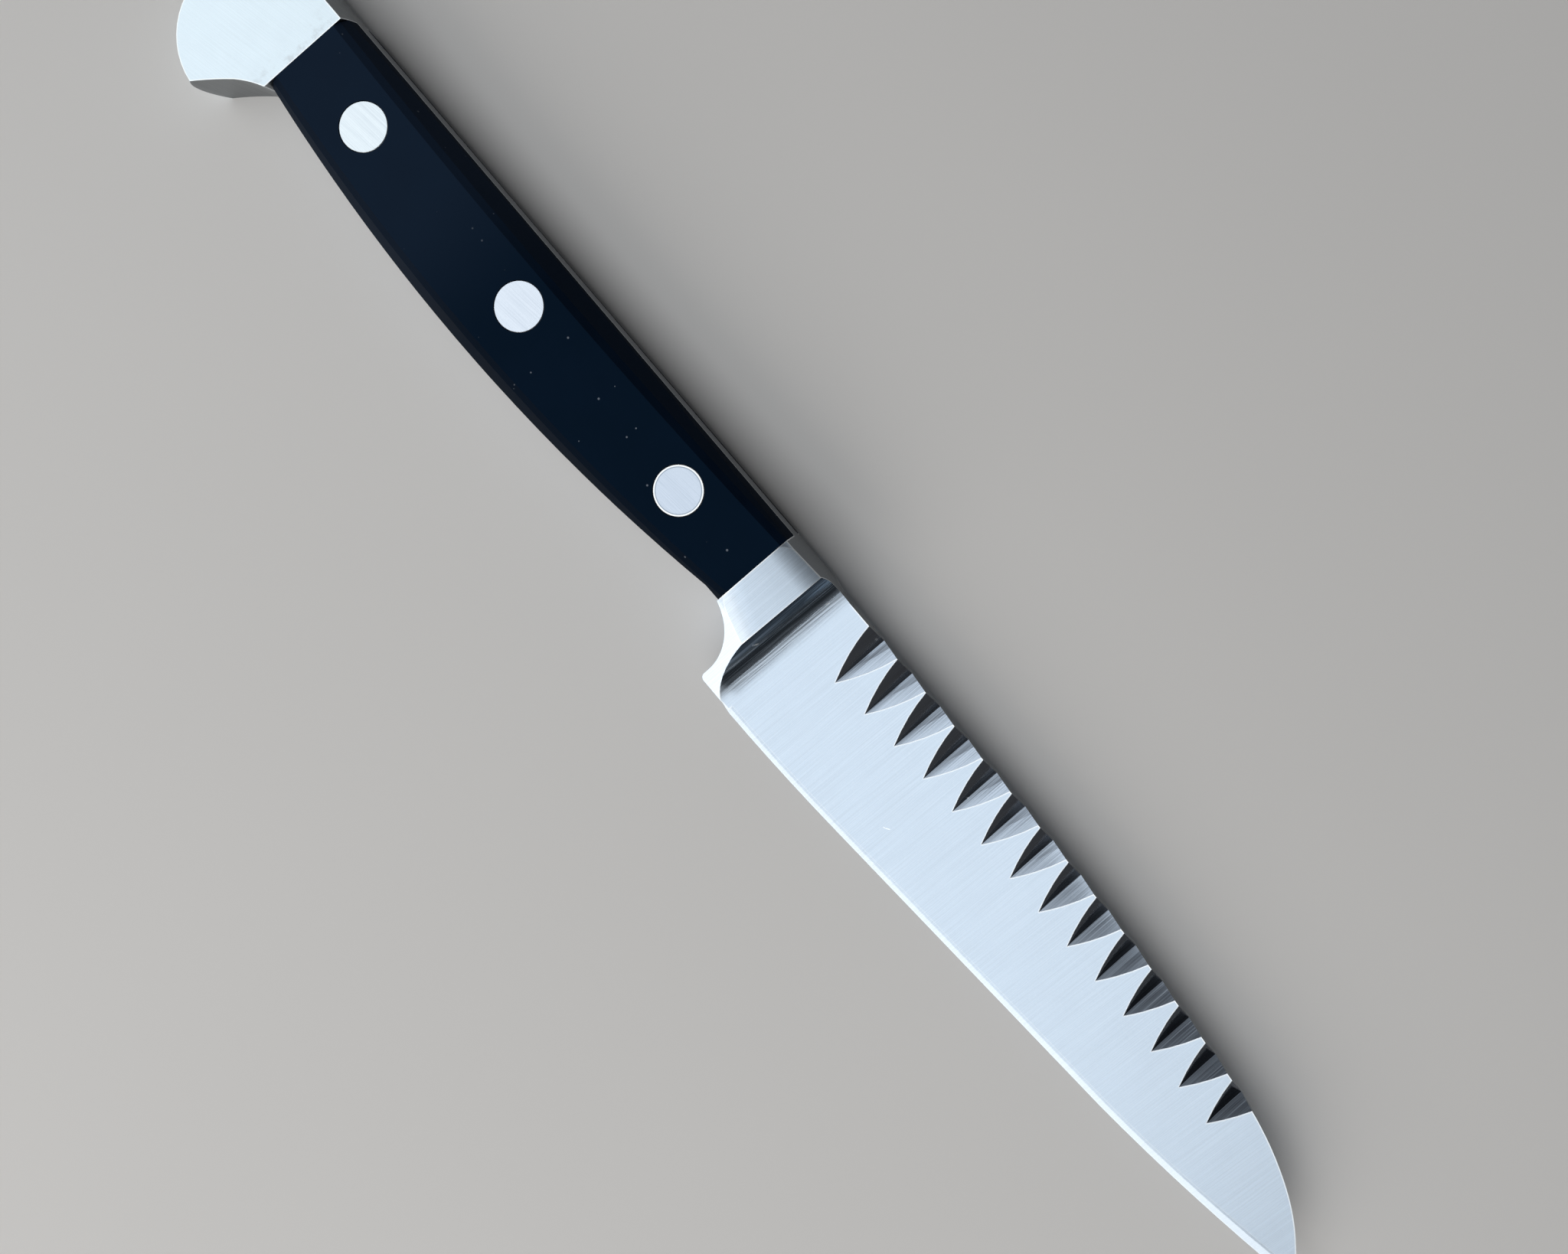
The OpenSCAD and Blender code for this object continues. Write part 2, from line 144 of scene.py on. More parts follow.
# Painted shade: the cove's core, the walls and the flutes' flanks are darkened where they mirror the dark
# room
COVE_PAINTED_SHADE = (0.03, 0.05, 0.07, 1)
WALL_PAINTED_SHADE = (0.10, 0.105, 0.11, 1)
FLANK_PAINTED_SHADE = (0.30, 0.30, 0.32, 1)
BUTT_FLANK_PAINTED_SHADE = (0.035, 0.04, 0.05, 1)
SMUDGE = (0.30, 0.29, 0.29, 1)
# Into the plastic
DUST = (0.32, 0.36, 0.42, 1)
# Painted shade for the scales' narrow sides and the bevel below
SIDE_PAINTED_SHADE = (0.0003, 0.0006, 0.0015, 1)
# And into the rivets
RIVET_DARK_LINE = (0.22, 0.27, 0.34, 1)
RIVET_GROOVE = (0.20, 0.25, 0.31, 1)
RIVET_COLLAR = (0.96, 0.99, 1.0, 1)
RIVET_PIT = (0.35, 0.38, 0.42, 1)

# The photograph's camera, measured from the knife's measuring point
CAMERA_AT = (7.11 * MM, 30.76 * MM, 193.62 * MM)
CAMERA_RIGHT = (0.64852, 0.74626, -0.15011)
CAMERA_DOWN = (0.75699, -0.65297, 0.02420)
CAMERA_LENS = 36.42
CAMERA_SHIFT_Y = -0.1108

# Each softbox: its width and depth, where it hangs, where it points, and the tint of its light
OVERHEAD_BOX = ((1.22, 0.48), (-0.14, -0.18, 0.60), (-0.14, -0.18, 0.0), (0.97, 0.99, 1.0))
FRONT_BOX = ((1.1, 0.55), (0.18, -0.70, 0.44), (0.0, 0.0, 0.0), (1.0, 0.955, 0.90))
# Power that makes one square metre of a softbox look white
WATTS_PER_SQUARE_METRE = 4.0
FLOOR_REACH = 6.0


class Nodes:
    """A node tree with short ways to add and join nodes."""

    def __init__(self, tree):
        self.tree = tree

    def add(self, kind, **settings):
        node = self.tree.nodes.new(kind)
        for name, value in settings.items():
            setattr(node, name, value)
        return node

    def put(self, socket, value):
        if isinstance(value, bpy.types.NodeSocket):
            self.tree.links.new(value, socket)
        else:
            socket.default_value = value

    def fill(self, node, values):
        for socket, value in zip(node.inputs, values):
            self.put(socket, value)
        return node.outputs

    def math(self, operation, *values, clamp=False):
        return self.fill(self.add("ShaderNodeMath", operation=operation, use_clamp=clamp), values)[0]

    def times(self, first, *others):
        for other in others:
            first = self.math("MULTIPLY", first, other)
        return first

    def most(self, a, b):
        return self.math("MAXIMUM", a, b)

    def unsigned(self, value):
        return self.math("ABSOLUTE", value)

    def vector(self, operation, *vectors):
        return self.fill(self.add("ShaderNodeVectorMath", operation=operation), vectors)

    def blend(self, factor, a, b):
        node = self.add("ShaderNodeMix", data_type="RGBA")
        self.put(node.inputs["Factor"], factor)
        self.put(node.inputs[6], a)
        self.put(node.inputs[7], b)
        return node.outputs[2]

    def between(self, factor, a, b):
        node = self.add("ShaderNodeMix", data_type="FLOAT")
        self.put(node.inputs["Factor"], factor)
        self.put(node.inputs[2], a)
        self.put(node.inputs[3], b)
        return node.outputs[0]

    def ramp(self, value, low, high, to_low=0.0, to_high=1.0, shape="SMOOTHSTEP"):
        node = self.add("ShaderNodeMapRange", interpolation_type=shape)
        return self.fill(node, (value, low, high, to_low, to_high))[0]

    def place(self, vector, scale=(1, 1, 1), turn=(0, 0, 0), move=(0, 0, 0)):
        node = self.add("ShaderNodeMapping")
        self.put(node.inputs["Vector"], vector)
        node.inputs["Location"].default_value = move
        node.inputs["Rotation"].default_value = turn
        node.inputs["Scale"].default_value = scale
        return node.outputs[0]

    def noise(self, vector, scale, detail=2.0, rough=0.5):
        node = self.add("ShaderNodeTexNoise")
        self.put(node.inputs["Vector"], vector)
        node.inputs["Scale"].default_value = scale
        node.inputs["Detail"].default_value = detail
        node.inputs["Roughness"].default_value = rough
        return node.outputs["Fac"]

    def split(self, vector):
        return self.fill(self.add("ShaderNodeSeparateXYZ"), (vector,))

    def join(self, x, y, z):
        return self.fill(self.add("ShaderNodeCombineXYZ"), (x, y, z))[0]

    def facing(self):
        return self.split(self.add("ShaderNodeTexCoord").outputs["Normal"])

    def group(self, name, **values):
        node = self.add("ShaderNodeGroup", node_tree=bpy.data.node_groups[name])
        for label, value in values.items():
            self.put(node.inputs[label.replace("_", " ")], value)
        return node.outputs

    def lines(self, vector, per_metre, breaks, coarse):
        return self.group("grind_lines", Vector=vector, Lines_per_metre=per_metre,
                          Breaks_per_metre=breaks, Coarse_share=coarse)

    def specks(self, vector, spacing, size, share):
        return self.group("specks", Vector=vector, Spacing=spacing, Size=size, Share=share)["Mask"]


def shader_group(name, inputs, outputs):
    """An empty shader node group with a vector input, and named number sockets."""
    tree = bpy.data.node_groups.new(name, "ShaderNodeTree")
    tree.interface.new_socket("Vector", in_out="INPUT", socket_type="NodeSocketVector")
    for label, default in inputs:
        socket = tree.interface.new_socket(label, in_out="INPUT", socket_type="NodeSocketFloat")
        socket.default_value = default
    for label in outputs:
        tree.interface.new_socket(label, in_out="OUTPUT", socket_type="NodeSocketFloat")
    nodes = Nodes(tree)
    return nodes, nodes.add("NodeGroupInput").outputs, nodes.add("NodeGroupOutput").inputs


def build_grind_lines():
    """Fine parallel lines left by a belt or a wheel. They run along Y of the vector that comes in."""
    n, given, out = shader_group(
        "grind_lines",
        (("Lines per metre", 9000.0), ("Breaks per metre", 60.0), ("Coarse share", 0.4)),
        ("Tone", "Height"),
    )
    x, y, z = n.split(given["Vector"])
    fine = n.join(
        n.times(x, given["Lines per metre"]),
        n.times(y, given["Breaks per metre"]),
        n.times(z, given["Lines per metre"]),
    )
    small = n.noise(fine, 1.0, 2.0, 0.6)
    large = n.noise(fine, 0.2, 1.0, 0.5)
    n.put(out["Tone"], n.between(given["Coarse share"], small, large))
    n.put(out["Height"], small)


def build_specks():
    """Sparse small marks, such as dust on plastic or pits in steel."""
    n, given, out = shader_group("specks", (("Spacing", 0.004), ("Size", 0.0001), ("Share", 0.3)), ("Mask",))
    cells = n.add("ShaderNodeTexVoronoi", feature="F1")
    n.put(cells.inputs["Vector"], given["Vector"])
    n.put(cells.inputs["Scale"], n.math("DIVIDE", 1.0, given["Spacing"]))
    away = n.times(cells.outputs["Distance"], given["Spacing"])
    chance, growth, _ = n.split(cells.outputs["Color"])
    own_size = n.times(given["Size"], n.math("ADD", 0.4, growth))
    spot = n.ramp(away, own_size, n.times(own_size, 0.5))
    n.put(out["Mask"], n.times(spot, n.math("LESS_THAN", chance, given["Share"])))


def build_scratch():
    """One short scratch along X through the middle of the vector that comes in."""
    n, given, out = shader_group("scratch", (("Length", 0.001), ("Width", 0.0001)), ("Mask",))
    x, y, _ = n.split(given["Vector"])
    half = n.times(given["Length"], 0.5)
    along = n.ramp(n.unsigned(x), half, n.times(half, 0.5))
    across = n.ramp(n.unsigned(y), given["Width"], n.times(given["Width"], 0.3))
    n.put(out["Mask"], n.times(along, across))


def opaque(colour, share=1.0):
    """A colour setting as a socket takes it, each channel times the share."""
    return tuple(channel * share for channel in colour) + (1,)


def new_material(name):
    """An empty material with its nodes, its surface shader and the place on the object."""
    material = bpy.data.materials.new(name)
    material.use_nodes = True
    material.node_tree.nodes.clear()
    n = Nodes(material.node_tree)
    surface = n.add("ShaderNodeBsdfPrincipled")
    n.put(n.add("ShaderNodeOutputMaterial").inputs["Surface"], surface.outputs[0])
    where = n.add("ShaderNodeTexCoord").outputs["Object"]
    return material, n, surface, where


def bump(n, surface, height, strength, depth, normal=None):
    node = n.add("ShaderNodeBump")
    n.put(node.inputs["Height"], height)
    node.inputs["Strength"].default_value = strength
    node.inputs["Distance"].default_value = depth
    if normal is not None:
        n.put(node.inputs["Normal"], normal)
    n.put(surface.inputs["Normal"], node.outputs[0])


def dress(names, material):
    for name in names:
        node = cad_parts[name]
        node.data.materials.clear()
        node.data.materials.append(material)


class KnifeSteel(bpy.types.PropertyGroup):
    """The steel of the forging."""

    colour: FloatVectorProperty(
        name="Steel colour", description="Colour of the ground steel",
        default=(0.585, 0.686, 0.80), subtype="COLOR", size=3, min=0, max=1)
    cap_colour: FloatVectorProperty(
        name="Cap colour", description="Colour of the butt cap, which is polished brighter",
        default=(0.68, 0.785, 0.85), subtype="COLOR", size=3, min=0, max=1)
    # The worn edges also get a painted highlight, lightened towards bare steel
    edge: FloatProperty(
        name="Worn edge", description="Radius of the worn edges",
        default=0.00026, unit="LENGTH", min=0, max=0.001, precision=6)
    roughness: FloatProperty(
        name="Roughness", description="Roughness of the faces",
        default=0.34, subtype="FACTOR", min=0.05, max=1)
    flute_roughness: FloatProperty(
        name="Flute roughness", description="Roughness of the ground flutes",
        default=0.10, subtype="FACTOR", min=0.05, max=1)
    lines: FloatProperty(
        name="Lines per metre", description="Density of the grinding lines",
        default=11000, min=1000, max=40000)
    line_depth: FloatProperty(
        name="Line depth", description="Depth of the grinding lines",
        default=0.000006, unit="LENGTH", min=0, max=0.0001, precision=6)


class KnifeScales(bpy.types.PropertyGroup):
    """The plastic of the two scales."""

    colour: FloatVectorProperty(
        name="Scale colour", description="Colour of the scales",
        default=(0.0008, 0.0025, 0.0065), subtype="COLOR", size=3, min=0, max=1)
    roughness: FloatProperty(
        name="Roughness", description="Roughness of the scales",
        default=0.42, subtype="FACTOR", min=0.05, max=1)
    # Painted light: this colour near the butt stands in for the stronger light there
    butt_painted_light_colour: FloatVectorProperty(
        name="Dull colour", description="Colour of the plastic near the butt",
        default=(0.0080, 0.0138, 0.0262), subtype="COLOR", size=3, min=0, max=1)
    side_roughness: FloatProperty(
        name="Side roughness", description="Roughness of the narrow sides",
        default=0.95, subtype="FACTOR", min=0.05, max=1)
    dust: FloatProperty(
        name="Dust", description="Share of the places that hold a speck of dust",
        default=0.45, subtype="FACTOR", min=0, max=1)


class KnifeRivets(bpy.types.PropertyGroup):
    """The metal of the rivets."""

    colour: FloatVectorProperty(
        name="Rivet colour", description="Colour of the middle rivet's heads",
        default=(0.72, 0.79, 0.88), subtype="COLOR", size=3, min=0, max=1)
    rear_colour: FloatVectorProperty(
        name="Rear rivet colour", description="Colour of the rear rivet's heads",
        default=(0.78, 0.86, 0.91), subtype="COLOR", size=3, min=0, max=1)
    front_colour: FloatVectorProperty(
        name="Front rivet colour", description="Colour of the front rivet's heads",
        default=(0.60, 0.68, 0.79), subtype="COLOR", size=3, min=0, max=1)
    roughness: FloatProperty(
        name="Roughness", description="Roughness of the rivet heads",
        default=0.36, subtype="FACTOR", min=0.05, max=1)


class KnifeStudio(bpy.types.PropertyGroup):
    """Floor and lights."""

    floor_colour: FloatVectorProperty(
        name="Floor colour", description="Colour of the plain floor",
        default=(0.80, 0.79, 0.78), subtype="COLOR", size=3, min=0, max=1)
    overhead: FloatProperty(
        name="Overhead light", description="Brightness of the softbox overhead. 1 is white",
        default=0.97, min=0)
    front: FloatProperty(
        name="Front light", description="Brightness of the softbox on the cutting edge's side",
        default=1.38, min=0)
    backdrop: FloatProperty(
        name="Backdrop", description="Brightness of the low, pale backdrop. 1 is white",
        default=0.95, min=0)
    room: FloatProperty(
        name="Room", description="Brightness of the dim room above the backdrop",
        default=0.085, min=0)


def forging_zones(n, x, y, z, facing):
    """The depth under the blade's flat, tapered face, and the masks of the forging's zones."""
    face = n.math("MULTIPLY_ADD", x, -FACE_TAPER, FACE_HEIGHT)
    face = n.math("MULTIPLY_ADD", y, FACE_SLOPE, face)
    depth = n.math("SUBTRACT", face, n.unsigned(z))
    hollow = n.most(n.ramp(facing[0], *COVE_FACING), n.ramp(x, *COVE_OUTER))
    cove = n.times(n.ramp(x, *COVE_START), n.ramp(x, *COVE_END), n.ramp(y, *COVE_FOOT), hollow)
    beside_cove = n.math("SUBTRACT", 1.0, cove)
    cap = n.ramp(x, *CAP_START)
    upright = n.ramp(n.unsigned(facing[2]), *UPRIGHT_FACING)
    return {
        "depth": depth,
        "flute": n.times(n.ramp(depth, *FLUTE_DEPTH), n.ramp(x, *BLADE_START), n.ramp(y, *FLUTE_ROW)),
        "cove": cove,
        "bolster": n.times(n.ramp(x, *BOLSTER_START), n.ramp(x, *BOLSTER_END), beside_cove),
        "cap": cap,
        "back": n.times(upright, n.ramp(facing[1], *WALL_FACING)),
        "beak": n.times(upright, cap, n.ramp(facing[0], *WALL_FACING)),
    }


def worn_and_highlit_edges(n, radius, facing, zone):
    """Outer edges, where a slightly rounded normal departs from the face's own. They are worn, and their
    bare steel is also a painted highlight.
    """
    rounded = n.add("ShaderNodeBevel", samples=6)
    rounded.inputs["Radius"].default_value = radius
    own = n.add("ShaderNodeNewGeometry").outputs["Normal"]
    agreement = n.vector("DOT_PRODUCT", rounded.outputs[0], own)["Value"]
    outside = n.math("SUBTRACT", 1.0, n.most(zone["flute"], zone["cove"]))
    return n.times(n.ramp(agreement, *WORN_HIGHLIT_EDGE_AGREEMENT), outside, n.ramp(facing[1], *WORN_HIGHLIT_EDGE_FACING))


def forging_lines(n, want, x, local, flat, zone):
    """Tone, contrast and height of the grinding lines in each zone, and the roughness they leave."""
    across = n.lines(flat, want.lines, *BLADE_LINES)
    along = n.lines(n.place(flat, turn=(0, 0, math.radians(78))), *CAP_LINES)
    wheel = n.lines(flat, *FLUTE_LINES)
    cove = n.lines(local, *COVE_LINES)
    deep = want.line_depth

    def by_zone(of_face, of_cap, of_flute, of_cove):
        chosen = n.between(zone["cap"], of_face, of_cap)
        return n.between(zone["cove"], n.between(zone["flute"], chosen, of_flute), of_cove)

    tone = by_zone(across["Tone"], along["Tone"], wheel["Tone"], cove["Tone"])
    contrast = by_zone(
        n.between(zone["bolster"], 0.12, 0.17),
        0.08,
        n.ramp(zone["depth"], 0.1 * MM, 0.9 * MM, 0.20, 0.62),
        n.ramp(x, 9.0 * MM, 11.2 * MM, 0.45, 0.12),
    )
    # The cove's lines are the deepest. Their height is level on average, so that its border makes no step
    height = by_zone(
        n.times(across["Height"], deep),
        n.times(along["Height"], deep),
        n.times(wheel["Height"], deep * 0.5),
        n.math("MULTIPLY_ADD", cove["Height"], deep * 7, deep * -3.5),
    )
    rough = by_zone(
        want.roughness,
        want.roughness,
        want.flute_roughness,
        n.ramp(x, 8.4 * MM, 9.4 * MM, want.flute_roughness + 0.06, want.roughness),
    )
    return tone, contrast, height, n.math("ADD", rough, n.ramp(tone, 0.3, 0.7, -0.03, 0.04))


def leaned_normal(n, x, y, facing, zone):
    """The bolster's face leans to the back, more and more towards it, and rolls over to the lug."""
    lean = 0.0
    for reach, slope in CROWNS:
        above = n.most(n.math("ADD", y, reach), 0.0)
        lean = n.math("MULTIPLY_ADD", above, slope / reach, lean)
    starts, full, slope = LUG_LEAN
    slanted = n.math("MULTIPLY_ADD", x, LUG_SLANT, y)
    to_lug = n.times(n.ramp(slanted, -starts, -full), n.ramp(facing[1], -slope, 0.0, shape="LINEAR"))
    lean = n.times(n.math("MULTIPLY_ADD", to_lug, -slope, lean), zone["bolster"])
    shallow, deep, slope = SHOULDER
    on_bevel = n.times(n.ramp(facing[1], *BEVEL_FACING), n.ramp(x, *BEVEL_START))
    lean = n.math("MULTIPLY_ADD", n.times(on_bevel, n.ramp(zone["depth"], deep, shallow)), slope, lean)
    crowned = n.vector("ADD", n.join(*facing), n.join(0.0, lean, 0.0))["Vector"]
    unit = n.vector("NORMALIZE", crowned)["Vector"]
    to_world = n.add("ShaderNodeVectorTransform", vector_type="NORMAL")
    to_world.convert_from = "OBJECT"
    to_world.convert_to = "WORLD"
    return n.fill(to_world, (unit,))[0]


def painted_shade_on_flanks(n, x, z, facing, zone, tone):
    """Painted shade: the flutes' flanks that face the butt are darkened in the valley, and all over nearer
    the tip, where they mirror the dark room.
    """
    turns = n.math("MULTIPLY_ADD", x, 1 / FLUTE_PITCH, 0.5 - FIRST_FLUTE / FLUTE_PITCH)
    turns = n.math("MULTIPLY_ADD", n.math("LESS_THAN", z, 0.0), 0.5, turns)
    past_valley = n.math("SUBTRACT", n.math("FRACT", turns), 0.5)
    dim = n.most(n.ramp(past_valley, 0.16, 0.0, 0.0, 0.5), n.ramp(x, *FLUTE_SHADE_TO_TIP, 0.0, 0.86))
    begins, complete = FLANK_FACING
    facing_butt = n.ramp(facing[0], -begins, -complete)
    return n.times(dim, zone["flute"], facing_butt, n.ramp(tone, 0.42, 0.72, 1.0, 0.80))


def wear_and_edge_highlight(n, local, where, edge_wear_and_highlight):
    """Pits, scratches and worn edges, which all show bare steel. On the edges this bare steel is also a
    painted highlight.
    """
    worn = n.times(n.specks(where, 3.5 * MM, 0.10 * MM, 0.22), 0.6)
    for (to_x, to_y), angle, length, width in SCRATCHES:
        centred = n.place(local, move=(-to_x * MM, -to_y * MM, 0))
        turned = n.place(centred, turn=(0, 0, math.radians(-angle)))
        mark = n.group("scratch", Vector=turned, Length=length * MM, Width=width * MM)["Mask"]
        worn = n.most(worn, n.times(mark, 0.85))
    return n.most(worn, n.times(edge_wear_and_highlight, 0.9))


def steel_material(want):
    material, n, surface, where = new_material("satin_steel")
    local = n.place(where, move=(-SEAM_X, -BACK_Y, -MIDDLE_Z))
    flat = n.place(local, scale=(1, 1, 0))
    x, y, z = n.split(local)
    facing = n.facing()
    zone = forging_zones(n, x, y, z, facing)
    tone, contrast, height, rough = forging_lines(n, want, x, local, flat, zone)

    # Streaks, clouds and a fine grain
    colour = n.blend(zone["cap"], opaque(want.colour), opaque(want.cap_colour))
    colour = n.blend(n.times(n.ramp(tone, 0.62, 0.36), contrast), colour, DARK_LINE)
    colour = n.blend(n.times(n.ramp(tone, 0.56, 0.74), contrast, 1.3), colour, BRIGHT_LINE)
    colour = n.blend(n.ramp(n.noise(where, 260.0, 3.0), 0.35, 0.75, 0.0, 0.06), colour, CLOUD)
    grain = n.noise(n.place(flat, scale=(1, 0.4, 1)), 9000.0, 2.0, 0.7)
    colour = n.blend(n.ramp(grain, 0.40, 0.72, 0.0, 0.10), colour, BARE_STEEL)

    # Painted shade where the surface mirrors the dark room: the cove's dark core, the walls and the two
    # flanks of the flutes. Then the smudge on the cap
    core = n.times(zone["cove"], n.ramp(x, *COVE_CORE), n.ramp(tone, 0.46, 0.66, 0.66, 0.15))
    colour = n.blend(core, colour, COVE_PAINTED_SHADE)
    colour = n.blend(n.times(n.most(zone["back"], zone["beak"]), 0.88), colour, WALL_PAINTED_SHADE)
    colour = n.blend(n.times(zone["flute"], n.ramp(facing[0], *FLANK_FACING), 0.75), colour, FLANK_PAINTED_SHADE)
    colour = n.blend(painted_shade_on_flanks(n, x, z, facing, zone, tone), colour, BUTT_FLANK_PAINTED_SHADE)
    smears = n.ramp(n.noise(where, 700.0, 3.0, 0.6), 0.45, 0.75)
    colour = n.blend(n.times(n.ramp(x, *SMUDGE_START), zone["cap"], smears, 0.40), colour, SMUDGE)

    # Worn edges, lightened towards bare steel below, which is also a painted highlight
    edge_wear_and_highlight = worn_and_highlit_edges(n, want.edge, facing, zone)
    n.put(surface.inputs["Base Color"], n.blend(wear_and_edge_highlight(n, local, where, edge_wear_and_highlight), colour, BARE_STEEL))
    surface.inputs["Metallic"].default_value = 1.0
    n.put(surface.inputs["Roughness"], rough)
    bump(n, surface, height, 1.0, 1.0, leaned_normal(n, x, y, facing, zone))
    return material


class KNIFE_OT_forging(bpy.types.Operator):
    """Gives the forged blade, bolster, tang and butt cap their satin steel"""

    bl_idname = "knife.forging"
    bl_label = "Forging"

    def execute(self, context):
        dress(FORGING, steel_material(context.scene.knife_steel))
        return {"FINISHED"}


def scale_material(want):
    material, n, surface, where = new_material("dark_moulded_plastic")
    facing = n.facing()
    from_seam = n.math("SUBTRACT", n.split(where)[0], SEAM_X)
    cloud = n.noise(where, 160.0, 3.0)
    colour = n.blend(n.ramp(cloud, 0.3, 0.7), opaque(want.colour), opaque(want.colour, 1.7))

    # Painted light: the plastic is made greyer towards the butt, where more light falls on it
    colour = n.blend(n.ramp(from_seam, *BUTT_PAINTED_LIGHT_START, 0.0, 0.9), colour, opaque(want.butt_painted_light_colour))

    # Dust and lint, most of it on the front half
    dust = n.specks(where, 2.0 * MM, 0.14 * MM, want.dust)
    stretched = n.place(where, scale=(1, 0.35, 1), turn=(0, 0, 0.6))
    lint = n.specks(stretched, 3.4 * MM, 0.12 * MM, 0.30)
    dusty = n.ramp(from_seam, *DUSTY_START, 0.2, 0.55)
    colour = n.blend(n.times(n.most(dust, lint), dusty), colour, DUST)

    # Painted shade makes the narrow sides and the bevel below darker; they are also duller
    upright = n.ramp(n.unsigned(facing[2]), *SIDE_FACING)
    side = n.most(upright, n.ramp(facing[1], *BELOW_FACING, 0.0, 0.55))
    n.put(surface.inputs["Base Color"], n.blend(n.times(side, 0.7), colour, SIDE_PAINTED_SHADE))
    rough = n.math("ADD", want.roughness, n.ramp(cloud, 0.3, 0.7, -0.04, 0.05))
    n.put(surface.inputs["Roughness"], n.between(side, rough, want.side_roughness))
    surface.inputs["Specular IOR Level"].default_value = 0.14
    surface.inputs["Specular Tint"].default_value = (0.15, 0.45, 0.95, 1)
    bump(n, surface, n.noise(where, 5200.0, 3.0, 0.6), 0.6, 0.006 * MM)
    return material


class KNIFE_OT_scales(bpy.types.Operator):
    """Gives the two scales their dark moulded plastic"""

    bl_idname = "knife.scales"
    bl_label = "Scales"

    def execute(self, context):
        dress(SCALES, scale_material(context.scene.knife_scales))
        return {"FINISHED"}


def rivet_middles():
    """Where the three rivets stand in plan, from the butt to the bolster."""
    middles = []
    for name in RIVETS[::2]:
        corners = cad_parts[name].bound_box
        middles.append(tuple(
            (min(corner[axis] for corner in corners) + max(corner[axis] for corner in corners)) / 2
            for axis in (0, 1)))
    return middles


def rivet_material(want):
    material, n, surface, where = new_material("ground_rivet_metal")
    x, y, _ = n.split(where)
    ground = n.lines(n.place(where, turn=(0, 0, math.radians(84))), *RIVET_LINES)

    # The rear rivet is tinted the brightest, and the one next to the bolster the darkest
    rear, _, front = rivet_middles()
    near, far = RIVET_TINT_END
    not_rear = n.ramp(x, rear[0] + near, rear[0] + far)
    is_front = n.ramp(x, front[0] - far, front[0] - near)
    colour = n.blend(not_rear, opaque(want.rear_colour), opaque(want.colour))
    colour = n.blend(is_front, colour, opaque(want.front_colour))
    colour = n.blend(n.ramp(ground["Tone"], 0.60, 0.34, 0.0, 0.28), colour, RIVET_DARK_LINE)

    # The front one's collar shows as a ring round the pin
    away = n.vector("DISTANCE", n.join(x, y, 0.0), front + (0.0,))["Value"]
    collar = n.times(n.ramp(away, *COLLAR), is_front)
    groove = n.math("SUBTRACT", n.ramp(away, *GROOVE), collar, clamp=True)
    colour = n.blend(n.times(groove, is_front, 0.80), colour, RIVET_GROOVE)
    colour = n.blend(n.times(collar, 0.95), colour, RIVET_COLLAR)
    colour = n.blend(n.times(n.specks(where, 2.2 * MM, 0.08 * MM, 0.3), 0.5), colour, RIVET_PIT)
    n.put(surface.inputs["Base Color"], colour)
    surface.inputs["Metallic"].default_value = 1.0
    rough = n.ramp(ground["Tone"], 0.3, 0.7, want.roughness - 0.05, want.roughness + 0.06)
    n.put(surface.inputs["Roughness"], rough)
    bump(n, surface, ground["Height"], 1.0, 0.004 * MM)
    return material


class KNIFE_OT_rivets(bpy.types.Operator):
    """Gives the halves of the three rivets their ground metal"""

    bl_idname = "knife.rivets"
    bl_label = "Rivets"

    def execute(self, context):
        dress(RIVETS, rivet_material(context.scene.knife_rivets))
        return {"FINISHED"}


def add_to_scene(name, data):
    added = bpy.data.objects.new(name, data)
    bpy.context.scene.collection.objects.link(added)
    return added


def hang_softbox(name, brightness, size, at, aim, tint):
    data = bpy.data.lights.new(name, "AREA")
    data.shape = "RECTANGLE"
    data.size, data.size_y = size
    data.energy = WATTS_PER_SQUARE_METRE * brightness * size[0] * size[1]
    data.color = tint
    light = add_to_scene(name, data)
    light.location = at
    light.rotation_euler = (Vector(aim) - Vector(at)).to_track_quat("-Z", "Y").to_euler()


def make_floor(want):
    mesh = bpy.data.meshes.new("floor")
    sides = ((-1, -1), (1, -1), (1, 1), (-1, 1))
    mesh.from_pydata([(x * FLOOR_REACH, y * FLOOR_REACH, 0) for x, y in sides], [], [(0, 1, 2, 3)])
    floor = add_to_scene("floor", mesh)
    material, n, surface, where = new_material("pale_floor")
    tint = n.ramp(n.noise(where, 9.0), 0.3, 0.7)
    colour = n.blend(tint, opaque(want.floor_colour), opaque(want.floor_colour, 0.985))
    n.put(surface.inputs["Base Color"], colour)
    surface.inputs["Roughness"].default_value = 0.75
    surface.inputs["Specular IOR Level"].default_value = 0.2
    mesh.materials.append(material)


def make_world(want):
    """A dim room. Its low, pale backdrop shows to the camera and in gloss, and ends beyond the tip."""
    world = bpy.data.worlds.new("studio_room")
    world.use_nodes = True
    world.node_tree.nodes.clear()
    n = Nodes(world.node_tree)
    x, _, z = n.split(n.add("ShaderNodeTexCoord").outputs["Generated"])
    wall = n.ramp(n.math("MULTIPLY_ADD", x, 0.45, z), 0.56, 0.20)
    path = n.add("ShaderNodeLightPath").outputs
    seen = n.most(path["Is Camera Ray"], n.most(path["Is Glossy Ray"], path["Is Transmission Ray"]))
    background = n.add("ShaderNodeBackground")
    background.inputs["Color"].default_value = (0.95, 0.97, 1.0, 1)
    n.put(background.inputs["Strength"], n.between(n.times(wall, seen), want.room, want.backdrop))
    n.put(n.add("ShaderNodeOutputWorld").inputs["Surface"], background.outputs[0])
    bpy.context.scene.world = world


